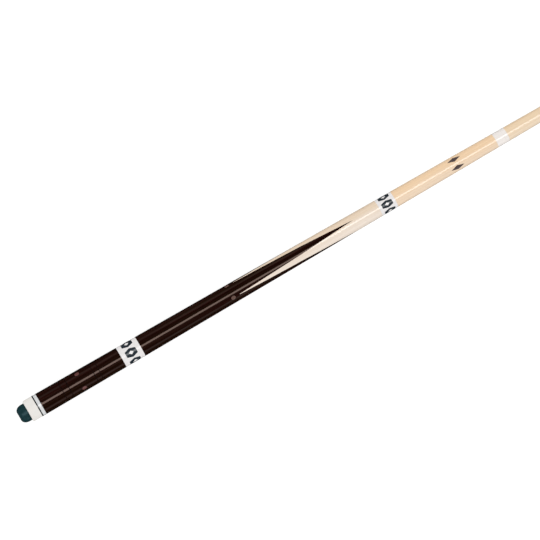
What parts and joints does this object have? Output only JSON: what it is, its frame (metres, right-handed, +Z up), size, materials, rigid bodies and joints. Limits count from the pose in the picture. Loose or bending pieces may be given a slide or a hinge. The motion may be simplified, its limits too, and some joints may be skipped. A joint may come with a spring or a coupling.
{
  "type": "pool cue",
  "caption": "Two-piece pool cue with a full-splice dark and maple butt, white inlaid bands, a threaded joint, a rubber bumper and a leather tip.",
  "frame": {"origin": "centre of the flat end of the rubber bumper, on the cue's axis", "axes": "+X along the cue from the butt to the tip, +Z up with the cue lying flat, +Y to the left of someone looking from the butt to the tip"},
  "size_m": [1.474, 0.0306, 0.0306],
  "materials": {
    "dark_wood": "clear gloss lacquer over dark streaked hardwood",
    "maple": "clear gloss lacquer over maple",
    "white_plastic": "polished",
    "black_plastic": "polished",
    "dark_inlay": "polished, flush with the band",
    "rose_inlay": "polished, flush with the wood",
    "teal_rubber": "smooth moulded rubber",
    "steel": "turned stainless steel",
    "brass": "turned brass",
    "ferrule_plastic": "satin",
    "fibre": "vulcanised fibre",
    "leather": "pressed leather"
  },
  "bodies": {
    "butt": {"butt_cap": "white_plastic", "cap_ring_black": "black_plastic", "cap_ring_white": "white_plastic", "sleeve_rear": "dark_wood", "sleeve_rear_collar": "dark_wood", "sleeve_window": "dark_wood", "sleeve_front_collar": "dark_wood", "sleeve_front": "dark_wood", "sleeve_ring_1": "black_plastic", "sleeve_ring_2": "black_plastic", "sleeve_ring_3": "black_plastic", "sleeve_ring_4": "black_plastic", "sleeve_dot_1": "rose_inlay", "sleeve_dot_2": "rose_inlay", "sleeve_dot_3": "rose_inlay", "sleeve_dot_4": "rose_inlay", "lower_band": "white_plastic", "lower_band_tile_1": "dark_inlay", "lower_band_tile_2": "dark_inlay", "lower_band_tile_3": "dark_inlay", "lower_band_tile_4": "dark_inlay", "lower_band_tile_5": "dark_inlay", "lower_band_tile_6": "dark_inlay", "handle": "dark_wood", "point_dot_1": "rose_inlay", "point_dot_2": "rose_inlay", "point_dot_3": "rose_inlay", "point_dot_4": "rose_inlay", "forearm": "maple", "upper_band": "white_plastic", "upper_band_tile_1": "dark_inlay", "upper_band_tile_2": "dark_inlay", "upper_band_tile_3": "dark_inlay", "upper_band_tile_4": "dark_inlay", "upper_band_tile_5": "dark_inlay", "upper_band_tile_6": "dark_inlay", "forearm_nose": "maple", "mark_lozenge_1": "dark_inlay", "mark_lozenge_2": "dark_inlay", "joint_collar": "white_plastic", "joint_pin": "steel"},
    "bumper": {"bumper": "teal_rubber"},
    "weight": {"weight_bolt": "steel"},
    "shaft_ring": {"shaft_collar": "white_plastic"},
    "shaft": {"shaft": "maple", "shaft_insert": "brass", "ferrule": "ferrule_plastic", "tip_pad": "fibre", "tip": "leather"}
  },
  "joints": [
    {"name": "shaft_travel", "type": "slide", "parent": "butt", "child": "shaft_ring", "axis": [1, 0, 0], "range_m": [0, 0.03048]},
    {"name": "shaft_turn", "type": "hinge", "parent": "shaft_ring", "child": "shaft", "pos_m": [0.7371, 0, 0], "axis": [1, 0, 0], "range_deg": [0, 4321]},
    {"name": "bumper_pull", "type": "slide", "parent": "butt", "child": "bumper", "axis": [-1, 0, 0], "range_m": [0, 0.022]},
    {"name": "weight_travel", "type": "slide", "parent": "butt", "child": "weight", "axis": [-1, 0, 0], "range_m": [0, 0.03]}
  ],
  "couplings": [
    {"joint": "shaft_turn", "follows": "shaft_travel", "rad_per_m": 2473.7}
  ]
}
